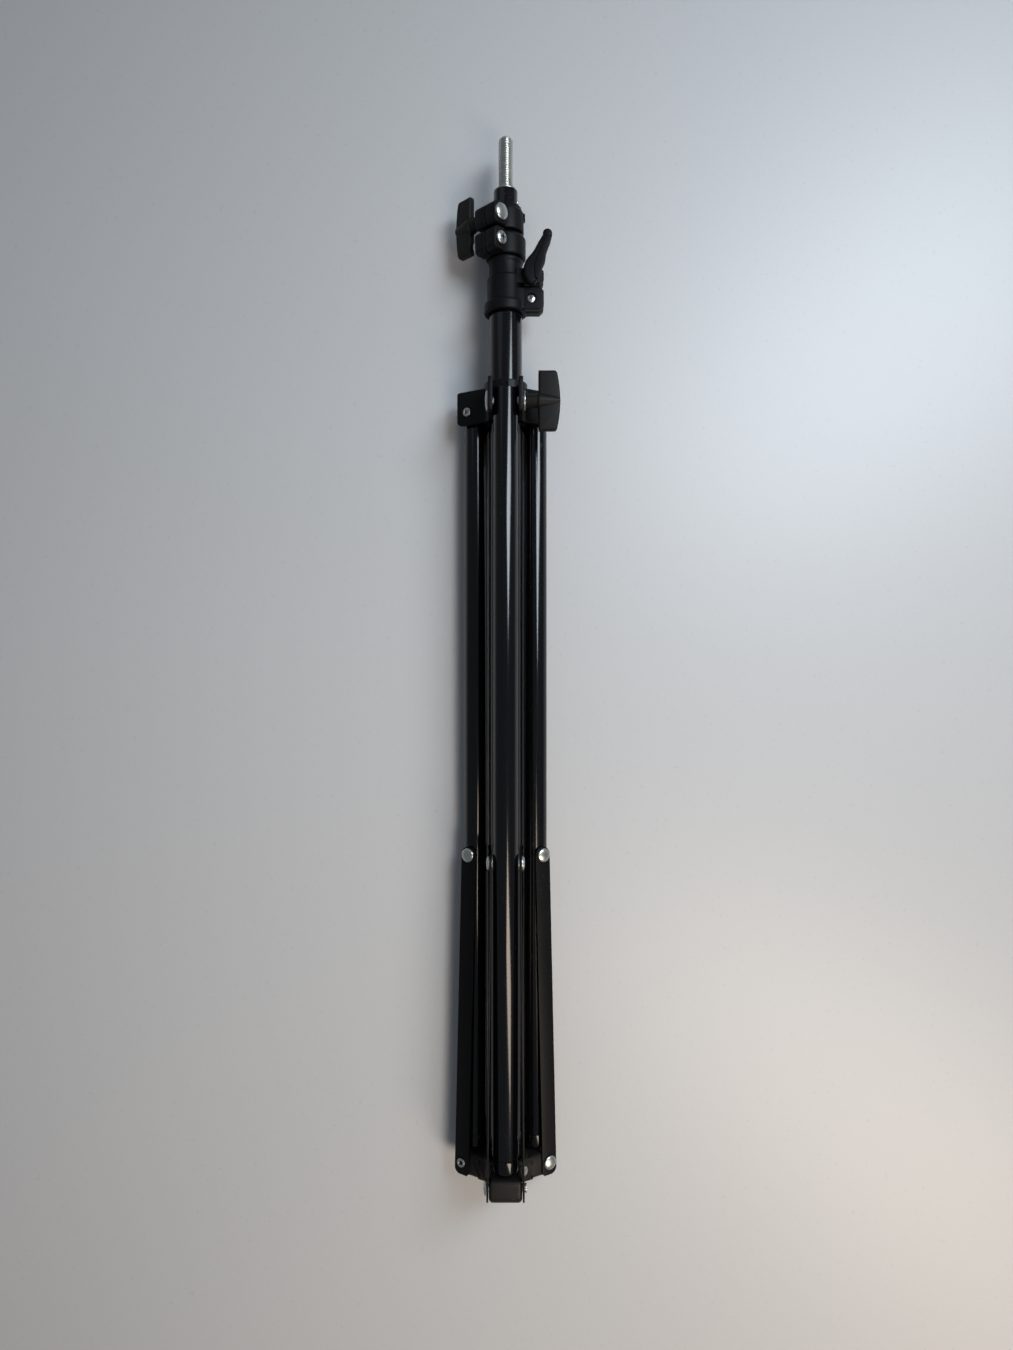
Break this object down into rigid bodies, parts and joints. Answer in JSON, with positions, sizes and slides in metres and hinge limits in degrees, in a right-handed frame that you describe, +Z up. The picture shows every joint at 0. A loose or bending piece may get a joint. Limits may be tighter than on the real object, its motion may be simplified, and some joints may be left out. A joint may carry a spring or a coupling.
{
  "type": "lighting stand",
  "caption": "Folding tripod lighting stand, folded flat, with a telescoping mast, sliding leg spider, clamp collars and a threaded top stud.",
  "frame": {"origin": "on the surface the folded stand lies on, under the mast axis at the middle of its length", "axes": "+Y along the mast towards the threaded stud, +Z up, +X to the side with the spider's wing knob"},
  "size_m": [0.0694, 0.6948, 0.0597],
  "materials": {
    "black_tube": "gloss black anodised tube",
    "black_steel": "satin black paint",
    "black_plastic": "fine matt black moulding",
    "zinc": "bright zinc plating"
  },
  "bodies": {
    "mast": {"outer_mast_tube": "black_tube", "mast_end_cap": "black_plastic", "hub_pin": "zinc", "lower_hub": "black_steel", "hub_front_rivet": "zinc", "hub_right_rivet": "zinc", "hub_left_rivet": "zinc", "lever_collar": "black_plastic", "lever_collar_screw": "zinc", "lever_collar_nut": "zinc", "lever_bolt": "zinc", "lever_bolt_nut": "zinc"},
    "middle_section": {"middle_mast_tube": "black_tube", "middle_tube_plug": "black_plastic", "upper_collar": "black_plastic", "carriage_bolt": "zinc", "clamp_screw": "zinc", "clamp_nut": "zinc"},
    "top_section": {"top_mast_tube": "black_tube", "top_tube_plug": "black_plastic", "stud_insert": "zinc", "threaded_stud": "zinc", "set_screw": "zinc"},
    "spider": {"leg_spider": "black_steel", "spider_bolt": "zinc", "spider_washer": "zinc", "leg_right_pivot_rivet": "zinc", "leg_left_pivot_rivet": "zinc"},
    "spider_wing_knob": {"spider_knob": "black_plastic"},
    "collar_wing_knob": {"collar_knob": "black_plastic"},
    "lever": {"clamp_lever": "black_plastic"},
    "leg_front": {"leg_front_tube": "black_tube", "leg_front_top_plug": "black_plastic", "leg_front_foot": "black_plastic"},
    "brace_front": {"brace_front_strap_plus": "black_steel", "brace_front_strap_minus": "black_steel", "brace_front_rivet_plus": "zinc", "brace_front_rivet_minus": "zinc"},
    "leg_right": {"leg_right_tube": "black_tube", "leg_right_top_plug": "black_plastic", "leg_right_foot": "black_plastic"},
    "brace_right": {"brace_right_strap_plus": "black_steel", "brace_right_strap_minus": "black_steel", "brace_right_rivet_plus": "zinc", "brace_right_rivet_minus": "zinc"},
    "leg_left": {"leg_left_tube": "black_tube", "leg_left_top_plug": "black_plastic", "leg_left_foot": "black_plastic"},
    "brace_left": {"brace_left_strap_plus": "black_steel", "brace_left_strap_minus": "black_steel", "brace_left_rivet_plus": "zinc", "brace_left_rivet_minus": "zinc"}
  },
  "joints": [
    {"name": "spider_slide", "type": "slide", "parent": "mast", "child": "spider", "axis": [0, -1, 0], "range_m": [0, 0.2]},
    {"name": "middle_slide", "type": "slide", "parent": "mast", "child": "middle_section", "axis": [0, 1, 0], "range_m": [0, 0.51]},
    {"name": "top_slide", "type": "slide", "parent": "middle_section", "child": "top_section", "axis": [0, 1, 0], "range_m": [0, 0.53]},
    {"name": "leg_front_hinge", "type": "hinge", "parent": "spider", "child": "leg_front", "pos_m": [0, 0.1649, 0.04973], "axis": [-1, 0, 0], "range_deg": [0, 41]},
    {"name": "brace_front_hinge", "type": "hinge", "parent": "mast", "child": "brace_front", "pos_m": [0, -0.3371, 0.05373], "axis": [1, 0, 0], "range_deg": [0, 68.72]},
    {"name": "leg_right_hinge", "type": "hinge", "parent": "spider", "child": "leg_right", "pos_m": [0.01992, 0.1649, 0.01523], "axis": [0.5, 0, 0.866], "range_deg": [0, 41]},
    {"name": "brace_right_hinge", "type": "hinge", "parent": "mast", "child": "brace_right", "pos_m": [0.02338, -0.3371, 0.01323], "axis": [-0.5, 0, -0.866], "range_deg": [0, 68.72]},
    {"name": "leg_left_hinge", "type": "hinge", "parent": "spider", "child": "leg_left", "pos_m": [-0.01992, 0.1649, 0.01523], "axis": [0.5, 0, -0.866], "range_deg": [0, 41]},
    {"name": "brace_left_hinge", "type": "hinge", "parent": "mast", "child": "brace_left", "pos_m": [-0.02338, -0.3371, 0.01323], "axis": [-0.5, 0, 0.866], "range_deg": [0, 68.72]},
    {"name": "spider_knob_turn", "type": "hinge", "parent": "spider", "child": "spider_wing_knob", "pos_m": [0.024, 0.1649, 0.04973], "axis": [1, 0, 0], "range_deg": [0, 360]},
    {"name": "collar_knob_turn", "type": "hinge", "parent": "middle_section", "child": "collar_wing_knob", "pos_m": [-0.02397, 0.28965, 0.02242], "axis": [-0.7071, 0, -0.7071], "range_deg": [0, 360]},
    {"name": "lever_turn", "type": "hinge", "parent": "mast", "child": "lever", "pos_m": [0.0169, 0.25135, 0.04023], "axis": [0, 0, -1], "range_deg": [0, 90]}
  ],
  "couplings": [
    {"joint": "leg_front_hinge", "follows": "spider_slide", "rad_per_m": 3.5776},
    {"joint": "brace_front_hinge", "follows": "spider_slide", "rad_per_m": 5.9963},
    {"joint": "leg_right_hinge", "follows": "spider_slide", "rad_per_m": 3.5776},
    {"joint": "brace_right_hinge", "follows": "spider_slide", "rad_per_m": 5.9963},
    {"joint": "leg_left_hinge", "follows": "spider_slide", "rad_per_m": 3.5776},
    {"joint": "brace_left_hinge", "follows": "spider_slide", "rad_per_m": 5.9963}
  ]
}
